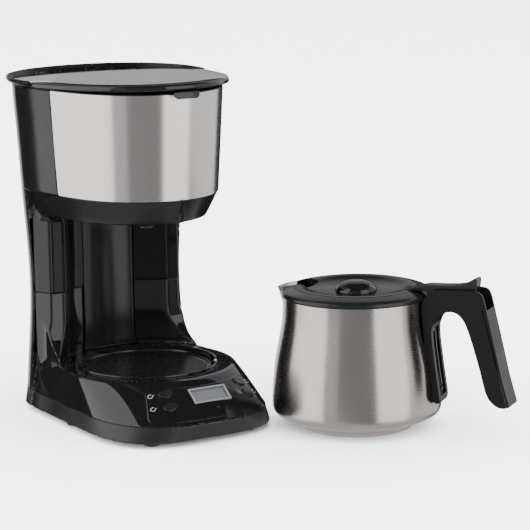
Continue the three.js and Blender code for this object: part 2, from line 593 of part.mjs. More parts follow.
const CARAFE_PIECES = [
  ['carafe_body', BRUSHED, carafeBody], ['carafe_collar', SATIN, carafeCollar],
  ['carafe_handle', SATIN, carafeHandle], ['handle_cover', SATIN, handleCover],
  ['handle_screw', STEEL, strapScrew], ['carafe_lid', SATIN, carafeLid],
  ['lid_dome', GLOSS, lidDome], ['carafe_lid_pin', STEEL, lidPinCarafe],
];

function meshOf(name, colour, piece) {
  const out = piece.getMesh();
  const g = new THREE.BufferGeometry();
  g.setAttribute('position', new THREE.BufferAttribute(new Float32Array(out.vertProperties), 3));
  g.setIndex(new THREE.BufferAttribute(new Uint32Array(out.triVerts), 1));
  g.translate(...SHIFT);
  g.computeVertexNormals();
  const mesh = new THREE.Mesh(g, colour);
  mesh.name = name;
  return mesh;
}

const set = new THREE.Group();
set.name = 'drip_coffee_maker';
for (const [name, colour, make] of PIECES) set.add(meshOf(name, colour, make()));
for (const [name, colour, make] of CARAFE_PIECES) set.add(meshOf(name, colour, atCarafe(make())));

export default set;
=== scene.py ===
"""Drip coffee maker and its brushed steel carafe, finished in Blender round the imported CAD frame.

Lengths in the making are millimetres about the middle of the warming plate, as in the part;
place() turns them into metres in the row frame.
"""
import json
import math

import bmesh
import bpy
import numpy as np
from mathutils import Matrix, Vector

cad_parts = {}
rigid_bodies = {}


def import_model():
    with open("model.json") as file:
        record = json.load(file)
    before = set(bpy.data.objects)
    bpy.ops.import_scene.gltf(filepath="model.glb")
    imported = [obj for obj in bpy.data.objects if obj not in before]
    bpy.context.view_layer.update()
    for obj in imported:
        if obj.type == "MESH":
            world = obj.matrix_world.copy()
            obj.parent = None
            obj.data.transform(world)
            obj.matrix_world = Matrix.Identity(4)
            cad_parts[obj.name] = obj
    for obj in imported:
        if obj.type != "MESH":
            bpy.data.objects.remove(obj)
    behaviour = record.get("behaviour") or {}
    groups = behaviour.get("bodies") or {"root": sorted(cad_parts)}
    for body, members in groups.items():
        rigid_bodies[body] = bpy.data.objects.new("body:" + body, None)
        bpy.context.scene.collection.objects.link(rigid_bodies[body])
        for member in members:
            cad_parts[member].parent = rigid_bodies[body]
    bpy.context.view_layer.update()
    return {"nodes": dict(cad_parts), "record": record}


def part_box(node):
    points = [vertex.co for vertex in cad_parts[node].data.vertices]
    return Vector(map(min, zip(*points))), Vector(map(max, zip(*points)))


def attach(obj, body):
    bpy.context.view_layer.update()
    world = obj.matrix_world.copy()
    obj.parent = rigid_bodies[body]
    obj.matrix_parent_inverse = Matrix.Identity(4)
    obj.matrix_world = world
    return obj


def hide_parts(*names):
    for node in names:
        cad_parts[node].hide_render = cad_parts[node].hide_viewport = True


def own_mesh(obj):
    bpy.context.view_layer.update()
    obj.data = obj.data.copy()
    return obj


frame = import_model()

# ------------------------------------------------------------------ driving dimensions
OFFSET = np.array([-78.0, 57.0, 0.0])
CARAFE_AT = (153.1, -142.1)
CARAFE_TURN = math.radians(-54.8)

TOP_Z, HEAD_Z, RING_Z, WAIST_Z = 335.0, 226.0, 201.0, 121.0
DECK_Z, SKIRT_Z, BASE_Z = 54.5, 21.0, 5.0
BAND_TOP = TOP_Z - 6.4
HEAD_MID = 44.6
HEAD_PLAN = (112.0, 0.5, 14.4, 5.5, -0.6)
SIDE_SCALE = ((5, .926), (10, .923), (22, .908), (45, .893), (68, .881), (109, .857), (119, .854),
              (130, .857), (150, .862), (171, .872), (191, .882), (212, .8935), (232, .906),
              (272, .928), (300, .942), (326, .957))
BAND_SCALE = ((HEAD_Z, .894), (280, .925), (TOP_Z - 9, .95))
BAY_R, PILLAR_Y, SEAM_Y = 87.0, 65.0, 82.0
SEAM_GAP = 0.22
EAR = ((192, 0), (197, .3), (201, 1.2), (205, 2.8), (209, 5.6), (212, 9.4), (214, 13.4), (216, 20),
       (218, 28), (219.6, 34), (221, 42), (223, 51), (226, 62))   # height, how far forward the seam is
EAR_PLANE = (0.873, 0.488)             # the flat across each front corner of the column
EAR_X = 73.0
WALL = 2
WELL_R = 66.8
LID_BACK_Y = 149.6
BASKET_AT = (0.0, -2.0)
SLOPE = math.radians(36)
STEEL_BACK_Y = 23.0

BUTTONS = {
    "upper_left": (-33.7, -94, 45.1, -0.19), "upper_right": (50.9, -87.1, 44, 0.33),
    "lower_left": (-35.9, -107.4, 35.5, -0.19), "lower_right": (54.3, -99, 35, 0.37),
}
DISPLAY_AT = (9, -103.9, 41.4)
LED_AT = (10.4, -117.2, 31.4)
PANEL_Z = (23.8, 49.2)
PANEL_X = ((-62.7, 75.7), (-49.5, 61.8))      # left and right edge, at the bottom and at the top


# ------------------------------------------------------------------ placing and meshes
def place(points):
    """Millimetres about the plate to metres in the row frame."""
    return (np.asarray(points, float).reshape(-1, 3) + OFFSET) / 1000


def at_carafe(points):
    """From the carafe's own axes, handle towards +x, to the machine's."""
    p = np.asarray(points, float).reshape(-1, 3)
    c, s = math.cos(CARAFE_TURN), math.sin(CARAFE_TURN)
    return np.column_stack([p[:, 0] * c - p[:, 1] * s + CARAFE_AT[0],
                            p[:, 0] * s + p[:, 1] * c + CARAFE_AT[1], p[:, 2]])


def mesh_piece(name, points, faces, body, material, slot, replaces=(), sharp=35):
    """A smooth-shaded mesh piece that rides on a body and stands for some CAD nodes."""
    mesh = bpy.data.meshes.new(name)
    mesh.from_pydata(place(points).tolist(), [], [tuple(int(i) for i in f) for f in faces])
    mesh.materials.append(material)
    bm = bmesh.new()
    bm.from_mesh(mesh)
    bmesh.ops.remove_doubles(bm, verts=bm.verts, dist=1e-6)
    bmesh.ops.recalc_face_normals(bm, faces=bm.faces)
    bm.to_mesh(mesh)
    bm.free()
    mesh.shade_smooth()
    mesh.set_sharp_from_angle(angle=math.radians(sharp))
    piece = bpy.data.objects.new(name, mesh)
    bpy.context.scene.collection.objects.link(piece)
    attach(piece, body)
    if replaces:
        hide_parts(*replaces)
    return piece


def bevel(piece, width_mm, segments=3, angle=30):
    mod = piece.modifiers.new("bevel", "BEVEL")
    mod.width = width_mm / 1000
    mod.segments = segments
    mod.limit_method = "ANGLE"
    mod.angle_limit = math.radians(angle)
    mod.harden_normals = True
    return piece


def thicken(piece, depth_mm):
    mod = piece.modifiers.new("wall", "SOLIDIFY")
    mod.thickness = depth_mm / 1000
    mod.offset = -1
    return piece


def grid_faces(rows, cols, wrap=False):
    """Quads over a rows x cols grid of points; wrap joins the last column to the first."""
    r, c = np.meshgrid(np.arange(rows - 1), np.arange(cols if wrap else cols - 1), indexing="ij")
    n = (c + 1) % cols
    quads = np.stack([r * cols + c, r * cols + n, (r + 1) * cols + n, (r + 1) * cols + c], -1)
    return quads.reshape(-1, 4)


def smooth_curve(points, steps=8, closed=False):
    """Catmull-Rom through 2-D or 3-D points."""
    p = np.asarray(points, float)
    n = len(p)
    out = []
    for i in range(n if closed else n - 1):
        if closed:
            a, b, c, d = (p[(i + k) % n] for k in (-1, 0, 1, 2))
        else:
            a, b, c, d = (p[min(max(i + k, 0), n - 1)] for k in (-1, 0, 1, 2))
        for t in np.arange(steps) / steps:
            out.append(0.5 * (2 * b + (c - a) * t + (2 * a - 5 * b + 4 * c - d) * t * t
                              + (3 * b - a - 3 * c + d) * t ** 3))
    if not closed:
        out.append(p[-1])
    return np.array(out)


def turned(profile, n=128):
    """Points and faces of a lathed profile of (radius, height) pairs."""
    prof = np.asarray(profile, float)
    t = 2 * np.pi * np.arange(n) / n
    pts = np.stack([prof[:, :1] * np.cos(t), prof[:, :1] * np.sin(t),
                    np.repeat(prof[:, 1:], n, 1)], -1).reshape(-1, 3)
    return pts, grid_faces(len(prof), n, wrap=True)


def slab(loop, half):
    """A closed (x, z) loop pushed both ways along y."""
    o = np.asarray(loop, float)
    n = len(o)
    low = np.column_stack([o[:, 0], np.full(n, -half), o[:, 1]])
    high = low * [1, -1, 1]
    sides = [(i, (i + 1) % n, n + (i + 1) % n, n + i) for i in range(n)]
    return np.vstack([low, high]), sides + [tuple(range(n)), tuple(range(2 * n - 1, n - 1, -1))]


# ------------------------------------------------------------------ rounded solid fields
def round_union(a, b, r):
    a, b = np.broadcast_arrays(a, b)
    return np.maximum(r, np.minimum(a, b)) - np.hypot(np.maximum(r - a, 0), np.maximum(r - b, 0))


def round_cut(a, b, r):
    return -round_union(-a, -b, r)


def ease(v):
    v = np.clip(v, 0, 1)
    return v * v * (3 - 2 * v)


def side_scale(z):
    """Scale of the column's plan by height, smoothed."""
    h, s = np.array(SIDE_SCALE).T
    knots = np.polyfit((h - 160) / 160, s, 7)
    return np.polyval(knots, (np.clip(z, 0, 330) - 160) / 160)


def plan_reach(x, y):
    """Radius of the head's plan, from its middle, in the direction of a point."""
    t = np.arctan2(x, HEAD_MID - y)
    return sum(c * np.cos(k * t) for k, c in enumerate(HEAD_PLAN))


def outline(x, y, scale):
    """Distance outside the head's plan at a scale."""
    return np.hypot(x, y - HEAD_MID) - plan_reach(x, y) * scale


def base_field(x, y, z):
    """The base spreads from the round deck down to the satin skirt."""
    deck = np.array([84.0, 84.0, 84.0, 0.0, 2.0])
    skirt = np.array([89.5, 110.0, 172.0, -20.0, 2.8])
    foot = np.array([92.0, 106.0, 177.0, -20.0, 3.3])
    up = np.clip((DECK_Z - z) / (DECK_Z - SKIRT_Z), 0, 1) ** 0.85
    down = np.clip((z - BASE_Z) / (SKIRT_Z - BASE_Z), 0, 1)
    a, f, b, y0, p = (np.where(z > SKIRT_Z, d + (s - d) * up, w + (s - w) * down)
                      for d, s, w in zip(deck, skirt, foot))
    v = y - y0
    g = ((np.abs(x) / a) ** p + (np.abs(v) / np.where(v < 0, f, b)) ** p) ** (1 / p)
    rho = np.hypot(x, v)
    side = rho * (1 - 1 / np.maximum(g, 0.05)) + 26 * ease((y - 62) / 60)
    return np.maximum(side, z - DECK_Z - 12)


def housing_field(x, y, z):
    """Negative inside the moulded body: base, column, brew head and the arms that join them."""
    full = outline(x, y, side_scale(z))
    chamfer = EAR_PLANE[0] * (np.abs(x) - EAR_X) - EAR_PLANE[1] * (y - PILLAR_Y)
    column = round_cut(full, chamfer, 4)
    base = base_field(x, y, z)
    low = round_union(base, column, 32)
    taper = np.interp(z, (RING_Z, 206, HEAD_Z, 400), (.7735, .8, .892, .892))
    ring = np.maximum(outline(x, y, taper) + 9 * ease((y - 62) / 30), RING_Z - z)
    ring = np.maximum(ring, z - HEAD_Z - .5)
    behind = round_union(SEAM_Y - y, HEAD_Z - z, 26)
    back = np.maximum(full, behind)
    outer = np.minimum(round_union(low, ring, 9), back)
    front = round_union(round_union(PILLAR_Y - y, z - DECK_Z, 40), RING_Z - z, 10)
    body = round_cut(outer, front, 1.6)
    bay = np.maximum(np.maximum(np.hypot(x, y) - BAY_R, z - RING_Z), DECK_Z - z)
    well = np.maximum(np.hypot(x, y) - WELL_R, np.abs(z - 54) - 10)
    body = round_cut(body, -bay, 1.5)
    body = np.maximum(body, -well)
    return np.maximum(np.maximum(body, BASE_Z - z), z - 330)


def surface_net(field, low, high, step):
    """Points and quads of a field's zero surface, each point then drawn onto it."""
    axes = [np.arange(a, b + step, step) for a, b in zip(low, high)]
    f = field(axes[0][:, None, None], axes[1][None, :, None], axes[2][None, None, :])
    inside = f < 0
    count = sum(inside[i:inside.shape[0] - 1 + i, j:inside.shape[1] - 1 + j,
                       k:inside.shape[2] - 1 + k].astype(np.int8)
                for i in (0, 1) for j in (0, 1) for k in (0, 1))
    cells = np.argwhere((count > 0) & (count < 8))
    index = np.full(count.shape, -1)
    index[tuple(cells.T)] = np.arange(len(cells))
    total = np.zeros((len(cells), 3))
    hits = np.zeros(len(cells))
    for axis in range(3):
        others = [a for a in range(3) if a != axis]
        for u in (0, 1):
            for v in (0, 1):
                start = cells.copy()
                start[:, others[0]] += u
                start[:, others[1]] += v
                end = start.copy()
                end[:, axis] += 1
                fa, fb = f[tuple(start.T)], f[tuple(end.T)]
                cross = (fa < 0) != (fb < 0)
                t = np.where(cross, fa / np.where(cross, fa - fb, 1), 0)
                total += np.where(cross[:, None], start + (end - start) * t[:, None], 0)
                hits += cross
    points = np.array(low) + total / hits[:, None] * step
    faces = []
    for axis in range(3):
        b, c = (axis + 1) % 3, (axis + 2) % 3
        first = [slice(None)] * 3
        second = [slice(None)] * 3
        first[axis], second[axis] = slice(0, -1), slice(1, None)
        change = inside[tuple(first)] != inside[tuple(second)]
        e = np.argwhere(change)
        e = e[(e[:, b] > 0) & (e[:, c] > 0) & (e[:, b] < index.shape[b]) & (e[:, c] < index.shape[c])]
        corners = []
        for db, dc in ((1, 1), (0, 1), (0, 0), (1, 0)):
            q = e.copy()
            q[:, b] -= db
            q[:, c] -= dc
            corners.append(index[tuple(q.T)])
        quad = np.stack(corners, -1)
        out = inside[tuple(e.T)]
        faces.append(np.where(out[:, None], quad, quad[:, ::-1]))
    for _ in range(3):
        points = drawn_on(field, points)
    return points, np.vstack(faces)


def drawn_on(field, p, eps=0.15):
    """Points moved one step along the gradient towards the field's zero surface."""
    value = field(*p.T)
    grad = np.stack([(field(*(p + d).T) - field(*(p - d).T)) / (2 * eps) for d in np.eye(3) * eps], -1)
    move = -value[:, None] * grad / np.maximum((grad ** 2).sum(1), 0.2)[:, None]
    length = np.linalg.norm(move, axis=1, keepdims=True)
    return p + move * np.minimum(1, 1.2 / np.maximum(length, 1e-9))


def seam(z):
    """Where the glossy front meets the satin back, seen from the side: from the skirt up to the ear."""
    low = np.clip((z - SKIRT_Z) / 42, 0, 1)
    sweep = 26 + (SEAM_Y - 26) * np.sqrt(np.maximum(1 - (1 - low) ** 2, 0))
    ear_z, ear_drop = np.array(EAR).T
    return sweep - np.interp(z, ear_z, ear_drop)


def cut_part(points, faces, planes, shear=False):
    """The part of a mesh inside some half spaces, in (normal, offset) pairs.

    With shear, y counts from the seam while cutting, so that a flat cut follows it.
    """
    p = points.copy()
    if shear:
        p[:, 1] -= seam(p[:, 2])
    near = np.all([p @ np.array(n) - d > -8 for n, d in planes], axis=0)
    mask = near[faces].any(1)
    used = np.unique(faces[mask])
    lookup = np.full(len(p), -1)
    lookup[used] = np.arange(len(used))
    mesh = bpy.data.meshes.new("cut")
    mesh.from_pydata(p[used].tolist(), [], lookup[faces[mask]].tolist())
    bm = bmesh.new()
    bm.from_mesh(mesh)
    bpy.data.meshes.remove(mesh)
    for n, d in planes:
        geometry = bm.verts[:] + bm.edges[:] + bm.faces[:]
        where = Vector(n) * d / Vector(n).length_squared
        bmesh.ops.bisect_plane(bm, geom=geometry, dist=1e-5, plane_co=where, plane_no=n,
                               clear_inner=True)
    out = np.array([v.co for v in bm.verts])
    bm.verts.index_update()
    quads = [[v.index for v in f.verts] for f in bm.faces]
    bm.free()
    if shear:
        out[:, 1] += seam(out[:, 2])
    return out, quads


# ------------------------------------------------------------------ materials
def new_material(name, colour, roughness, metallic=0.0, **sockets):
    mat = bpy.data.materials.new(name)
    mat.use_nodes = True
    bsdf = mat.node_tree.nodes["Principled BSDF"]
    bsdf.inputs["Base Color"].default_value = (*colour, 1)
    bsdf.inputs["Roughness"].default_value = roughness
    bsdf.inputs["Metallic"].default_value = metallic
    for key, value in sockets.items():
        bsdf.inputs[key.replace("_", " ")].default_value = value
    mat.diffuse_color = (*colour, 1)
    return mat


def noise_at(mat, scale, detail=4.0, stretch=(1, 1, 1), roughness=0.5):
    """A noise texture in object space, stretched; returns its factor socket."""
    tree = mat.node_tree
    coord = tree.nodes.new("ShaderNodeTexCoord")
    mapping = tree.nodes.new("ShaderNodeMapping")
    mapping.inputs["Scale"].default_value = stretch
    noise = tree.nodes.new("ShaderNodeTexNoise")
    noise.inputs["Scale"].default_value = scale
    noise.inputs["Detail"].default_value = detail
    noise.inputs["Roughness"].default_value = roughness
    tree.links.new(coord.outputs["Object"], mapping.inputs["Vector"])
    tree.links.new(mapping.outputs["Vector"], noise.inputs["Vector"])
    return noise.outputs["Fac"]


def spread(mat, factor, low, high, target):
    """Drive a shader socket between two values by a factor."""
    tree = mat.node_tree
    if isinstance(low, (tuple, list)):
        mix = tree.nodes.new("ShaderNodeMix")
        mix.data_type = "RGBA"
        mix.inputs[6].default_value = (*low, 1)
        mix.inputs[7].default_value = (*high, 1)
        tree.links.new(factor, mix.inputs[0])
        result = mix.outputs[2]
    else:
        span = tree.nodes.new("ShaderNodeMapRange")
        span.inputs["From Min"].default_value = 0.3
        span.inputs["From Max"].default_value = 0.7
        span.inputs["To Min"].default_value = low
        span.inputs["To Max"].default_value = high
        tree.links.new(factor, span.inputs["Value"])
        result = span.outputs["Result"]
    tree.links.new(result, tree.nodes["Principled BSDF"].inputs[target])


def bump(mat, factor, strength, distance):
    tree = mat.node_tree
    node = tree.nodes.new("ShaderNodeBump")
    node.inputs["Strength"].default_value = strength
    node.inputs["Distance"].default_value = distance
    tree.links.new(factor, node.inputs["Height"])
    tree.links.new(node.outputs["Normal"], tree.nodes["Principled BSDF"].inputs["Normal"])


def gloss_plastic(name="gloss_black", level=.5):
    mat = new_material(name, (.0022, .0022, .0024), .045, IOR=1.5, Specular_IOR_Level=level)
    smudge = noise_at(mat, 28, 3)
    spread(mat, smudge, .03, .075, "Roughness")
    return mat


def satin_plastic(name="satin_black", colour=(.0035, .0035, .0037), low=.30, high=.38, level=.5):
    mat = new_material(name, colour, .34, IOR=1.48, Specular_IOR_Level=level)
    grain = noise_at(mat, 1600, 2)
    spread(mat, noise_at(mat, 40, 3), low, high, "Roughness")
    bump(mat, grain, .18, .00008)
    return mat


def brushed_steel(name, colour):
    mat = new_material(name, colour, .3, 1.0, Anisotropic=.75, Anisotropic_Rotation=.25)
    grain = noise_at(mat, 1, 6, (9, 9, 2600), .65)
    fine = noise_at(mat, 1, 4, (60, 60, 6500), .6)
    darker = tuple(c * .86 for c in colour)
    lighter = tuple(min(c * 1.12, 1) for c in colour)
    spread(mat, grain, darker, lighter, "Base Color")
    spread(mat, fine, .24, .29, "Roughness")
    bump(mat, grain, .05, .00001)
    tangent = mat.node_tree.nodes.new("ShaderNodeTangent")
    tangent.direction_type = "RADIAL"
    tangent.axis = "Z"
    mat.node_tree.links.new(tangent.outputs["Tangent"],
                            mat.node_tree.nodes["Principled BSDF"].inputs["Tangent"])
    return mat


def plain(name, colour, roughness, metallic=0.0, low=None, high=None, level=.5):
    mat = new_material(name, colour, roughness, metallic, Specular_IOR_Level=level)
    spread(mat, noise_at(mat, 60, 3), low or roughness * .85, high or roughness * 1.15, "Roughness")
    return mat


GLOSS = gloss_plastic()
SATIN = satin_plastic()
BAY = gloss_plastic("bay_black", .16)
BACK = satin_plastic("back_black", (.0028, .0028, .003), .13, .19, .36)
RING_SATIN = satin_plastic("ring_satin", (.003, .003, .0032), .2, .26, .4)
STEEL = brushed_steel("brushed_steel", (.683, .658, .637))
CARAFE_STEEL = brushed_steel("carafe_steel", (.545, .496, .468))
PLATE = plain("plate_enamel", (.003, .003, .0034), .2, level=.2)
PLAIN_STEEL = plain("plain_steel", (.5, .5, .5), .3, 1.0)
SILVER = plain("display_frame", (.07, .07, .074), .3)
DISH = satin_plastic("dish_black", (.003, .003, .0032), .2, .27, .3)
GRIP = satin_plastic("grip_black", (.002, .002, .0022), .24, .3, .22)
COVER = satin_plastic("cover_black", (.006, .006, .0065), .34, .42, .4)
RUBBER = plain("foot_rubber", (.012, .012, .012), .7)
BUTTON = satin_plastic("button_black", (.004, .004, .0042), .2, .26)
MARK = plain("printed_marks", (.2, .2, .19), .5)
LCD = plain("lcd_grey", (.046, .05, .052), .3)
LENS = new_material("display_lens", (.9, .92, .92), .03, Transmission_Weight=1.0, IOR=1.45)
LIGHT_DOT = plain("indicator", (.01, .006, .005), .15)


# ------------------------------------------------------------------ machine body
def build_housing():
    """The moulded body as one surface, cut along its seams into its covers."""
    step = 1.6
    body = surface_net(housing_field, (-100.3, -134.2, 3.4), (100.3, 172.2, 333.1), step)
    gap = SEAM_GAP
    ahead = ((0, -1, 0), gap)
    ear_x, ear_y = EAR_PLANE
    ear_edge = ear_x * EAR_X - ear_y * (PILLAR_Y - SEAM_Y) - 2.5

    def above(z):
        return (0, 0, 1), z

    def below(z):
        return (0, 0, -1), -z

    skirt = cut_part(*body, [below(SKIRT_Z - gap), above(BASE_Z + .6)])
    back = cut_part(*body, [above(SKIRT_Z - gap), ((0, 1, 0), gap), below(HEAD_Z + .01)], True)
    head = cut_part(*body, [above(HEAD_Z + .01), below(BAND_TOP), ((0, 1, 0), STEEL_BACK_Y + gap)])
    deck = cut_part(*body, [above(SKIRT_Z + gap), below(WAIST_Z - gap), ahead], True)
    upper = [above(WAIST_Z + gap), below(RING_Z - 3), ahead]
    bay = cut_part(*body, upper + [((side * ear_x, ear_y, 0), -ear_edge) for side in (-1, 1)], True)
    ears = [cut_part(*body, upper + [((side * ear_x, -ear_y, 0), ear_edge)], True) for side in (-1, 1)]
    ring = cut_part(*body, [above(RING_Z - 3), below(HEAD_Z - gap), ahead], True)
    covers = (
        ("base_skirt", skirt, SATIN, "satin_black", ("frame_shell",)),
        ("column_back", back, BACK, "satin_black", ()),
        ("head_back", head, BACK, "satin_black", ("head_shell",)),
        ("deck_cover", without_panel(*deck), GLOSS, "gloss_black", ("deck_housing",)),
        ("bay_cover", bay, BAY, "gloss_black", ("bay_housing",)),
        ("brew_ring", joined([ring, *ears]), RING_SATIN, "satin_black", ("head_ring",)),
    )
    for name, part, material, slot, nodes in covers:
        thicken(mesh_piece(name, *part, "machine", material, slot, nodes), WALL)


def joined(parts):
    """Several (points, faces) pairs as one."""
    points, faces, count = [], [], 0
    for p, f in parts:
        points.append(p)
        faces += [[i + count for i in face] for face in f]
        count += len(p)
    return np.vstack(points), faces


def without_panel(points, quads):
    """Leaves out what the control panel covers."""
    def covered(face):
        mid = points[list(face)].mean(0)
        return mid[1] < -52 and panel_depth(mid[0], mid[2]) > 2.4
    return points, [q for q in quads if not covered(q)]


def panel_depth(x, z):
    """Depth inside the panel's outline, as seen from the front."""
    rise = (z - PANEL_Z[0]) / (PANEL_Z[1] - PANEL_Z[0])
    left, right = (low + (high - low) * rise for low, high in zip(*PANEL_X))
    stretch = 1.6
    middle = sum(PANEL_Z) / 2
    return rounded_inside(x - (left + right) / 2, (z - middle) * stretch, (right - left) / 2,
                          (PANEL_Z[1] - middle) * stretch, 6)


def band_scale(z):
    h, s = np.array(BAND_SCALE).T
    return np.interp(z, h, s)


def head_point(t, scale, z):
    """Points round the head's plan; t is 0 in front."""
    r = scale * sum(c * np.cos(k * t) for k, c in enumerate(HEAD_PLAN))
    return np.stack([r * np.sin(t), HEAD_MID - r * np.cos(t), np.broadcast_to(z, r.shape)], -1)


def build_steel_band():
    low, high, corner = HEAD_Z + .35, BAND_TOP - .3, 4.0
    z = np.concatenate([low + corner * (1 - np.cos(np.linspace(0, np.pi / 2, 8))),
                        np.linspace(low + corner + 6, high, 16)])
    inset = corner - np.sqrt(np.maximum(corner ** 2 - np.maximum(corner - (z - low), 0) ** 2, 0))
    rows = []
    for height, cut in zip(z, inset):
        s = band_scale(height)
        end = math.acos((HEAD_MID - STEEL_BACK_Y) / 96 / s) if s else 1.3
        span = np.linspace(-end, end, 181) * (1 - cut / 96 / end)
        rows.append(head_point(span, s + .0012, height))
    points = np.array(rows).reshape(-1, 3)
    piece = mesh_piece("steel_wrap", points, grid_faces(len(z), 181), "machine", STEEL, "brushed_steel",
                       ("steel_band",))
    thicken(piece, 1.2)
    bevel(piece, .25, 2, 60)


# ------------------------------------------------------------------ top
def lid_height(y):
    return TOP_Z + 4.1 - 7.5 * (np.asarray(y) + 110) / 280


def build_brew_lid():
    """A shallow cap: flat tilted top inside the rim at the back, a rounded lip over it in front."""
    n = 240
    t = 2 * np.pi * np.arange(n) / n
    front = ease((60 - (HEAD_MID - 110 * np.cos(t))) / 18)
    profile = [(.955, .965, -2.2, -2.2), (.965, .99, -2.0, -4.8), (.966, 1.003, -1.4, -5.2),
               (.967, 1.009, -.9, -4.5), (.966, 1.0105, -.5, -3.0), (.962, 1.006, -.15, -1.3),
               (.955, .998, 0, .2), (.95, .99, 0, .3), (.94, .98, 0, 0)]
    profile += [(s, s, 0, 0) for s in (.8, .5, .2)]
    rows = []
    for back_s, front_s, back_dz, front_dz in profile:
        s = back_s + (front_s - back_s) * front
        xy = head_point(t, s, 0.0)
        xy[:, 1] = np.minimum(xy[:, 1], LID_BACK_Y - 9.4 * ease((np.abs(xy[:, 0]) - 32) / 7))
        xy[:, 2] = lid_height(xy[:, 1]) + back_dz + (front_dz - back_dz) * front
        rows.append(xy)
    points = np.array(rows).reshape(-1, 3)
    middle = np.array([[0, HEAD_MID, float(lid_height(HEAD_MID))]])
    last = (len(profile) - 1) * n
    fan = [(last + i, last + (i + 1) % n, len(points)) for i in range(n)]
    faces = grid_faces(len(profile), n, wrap=True).tolist() + fan
    piece = mesh_piece("lid_cap", np.vstack([points, middle]), faces, "brew_lid", GLOSS, "gloss_black",
                       ("brew_lid",), sharp=60)
    thicken(piece, 1.8)
    build_lid_tab()


def build_lid_tab():
    u = np.linspace(-1, 1, 33)
    side = smooth_curve([(-80, 332.4), (-84.6, 332.2), (-87.4, 330.6), (-88.6, 328), (-89.6, 325.2),
                         (-89.2, 324.0)], 6)
    rows = []
    for y, z in side:
        drop = (332.4 - z) / 8.4
        half = 14 - 1.2 * drop ** 2 - 2.6 * max(drop - .6, 0) ** 2 / .16
        bow = 1.0 * (1 - u ** 2)
        rows.append(np.stack([u * half, y - bow + .6, np.full_like(u, z + 1) - .25 * u ** 4], -1))
    piece = mesh_piece("lid_tab", np.array(rows).reshape(-1, 3), grid_faces(len(side), 33), "brew_lid",
                       GLOSS, "gloss_black")
    thicken(piece, 1.6)
    bevel(piece, .5, 3, 50)


def build_rim():
    """The flared collar that stands up round the back of the lid."""
    t = np.linspace(math.radians(92), math.radians(268), 200)
    top = TOP_Z + 1.1
    profile = smooth_curve([(.952, BAND_TOP), (.966, BAND_TOP + .8), (.994, BAND_TOP + 2.4),
                            (1.008, BAND_TOP + 4.4), (1.0105, top - 2.6), (1.009, top - .8),
                            (1.002, top), (.995, top - .4), (.984, top - 3.2), (.966, top - 6.2),
                            (.93, top - 8.2)], 5)
    rows = [head_point(t, s, z) for s, z in profile]
    mesh_piece("rim_collar", np.array(rows).reshape(-1, 3), grid_faces(len(profile), len(t)), "machine",
               GRIP, "satin_black", ("top_rim",))
    under = [(.951, BAND_TOP), (.951, BAND_TOP + .5), (.925, BAND_TOP + .5), (.925, BAND_TOP - 1)]
    before_hinge = np.radians(np.linspace(-145, 145, 200))
    ledge = [head_point(before_hinge, s, z) for s, z in under]
    mesh_piece("rim_ledge", np.array(ledge).reshape(-1, 3), grid_faces(4, 200), "machine", SATIN,
               "satin_black")


# ------------------------------------------------------------------ plate, outlet, feet
def build_plate():
    ring = smooth_curve([(63.2, 51.4), (63.6, 52.6), (65.2, 54.2), (67.2, 55.6), (68.6, 56),
                         (69.6, 55.7), (69.9, 54.7), (69.9, 54.3)], 6)
    mesh_piece("plate_rim", *turned(ring, 160), "machine", GLOSS, "satin_black", ("plate_ring",))
    dish = smooth_curve([(.01, 50), (30, 50), (52, 50), (57.5, 50.1), (60, 51.0), (61.3, 51.5),
                         (62.5, 51.2), (63, 49.8)], 6)
    mesh_piece("hot_plate", *turned(dish, 160), "machine", PLATE, "black_enamel", ("warming_plate",))


def build_outlet():
    tip = smooth_curve([(14.2, 206), (14.4, 195), (13.9, 193.4), (12.6, 193.1), (12.2, 194.2),
                        (8.8, 194.4), (8.6, 203)], 5)
    points, faces = turned(tip, 64)
    mesh_piece("drip_outlet", points + [*BASKET_AT, 0], faces, "machine", BAY, "satin_black")


def build_valve_spring():
    """The coil over the drip valve, made at one length."""
    turns, steps, around = 3, 72, 8
    t = 2 * np.pi * turns * np.arange(steps + 1) / steps
    out = np.column_stack([np.cos(t), np.sin(t)])
    height = 194.2 + 6.8 * np.arange(steps + 1) / steps
    rows = []
    for a in 2 * np.pi * np.arange(around) / around:
        rows.append(np.column_stack([out * (4.6 + .5 * np.cos(a)), height + .5 * np.sin(a)]))
    points = np.stack(rows, 1).reshape(-1, 3) + [*BASKET_AT, 0]
    last = steps * around
    ends = [tuple(range(around)), tuple(range(last, last + around))]
    piece = mesh_piece("valve_spring", points, grid_faces(steps + 1, around, wrap=True).tolist() + ends,
                       "machine", PLAIN_STEEL, "steel", ("drip_spring",))
    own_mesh(piece)


def build_feet():
    for name in [n for n in frame["nodes"] if n.startswith("foot_") and "screw" not in n]:
        low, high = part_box(name)
        mid = (np.array(low) + np.array(high)) / 2 * 1000 - OFFSET
        foot = [(4.1, 4.7), (4.1, .5), (4.3, .15), (4.8, 0), (7.2, 0), (7.7, .2), (8.0, .7), (8.5, 4.7)]
        points, faces = turned(foot, 40)
        mesh_piece(f"pad_{name[5:]}", points + [mid[0], mid[1], 0], faces, "machine", RUBBER, "rubber",
                   (name,))


# ------------------------------------------------------------------ control panel
def slope_axes(lean=0.0):
    """Across, up the slope and out of it, as rows."""
    out = Vector((lean, -math.sin(SLOPE), math.cos(SLOPE))).normalized()
    across = Vector((1, 0, 0)) - out * out.x
    across.normalize()
    return np.array([across, out.cross(across), out])


def on_slope(points, spot, lean=0.0):
    """Points given in the panel's own axes, set down at a spot."""
    return np.asarray(points, float) @ slope_axes(lean) + np.array(spot[:3], float)


def drop_on(points, field, normal):
    """Moves points along a direction until they meet a field's surface."""
    s = np.zeros(len(points))
    for _ in range(12):
        value = field(*(points + s[:, None] * normal).T)
        s -= value * 0.8
    return s


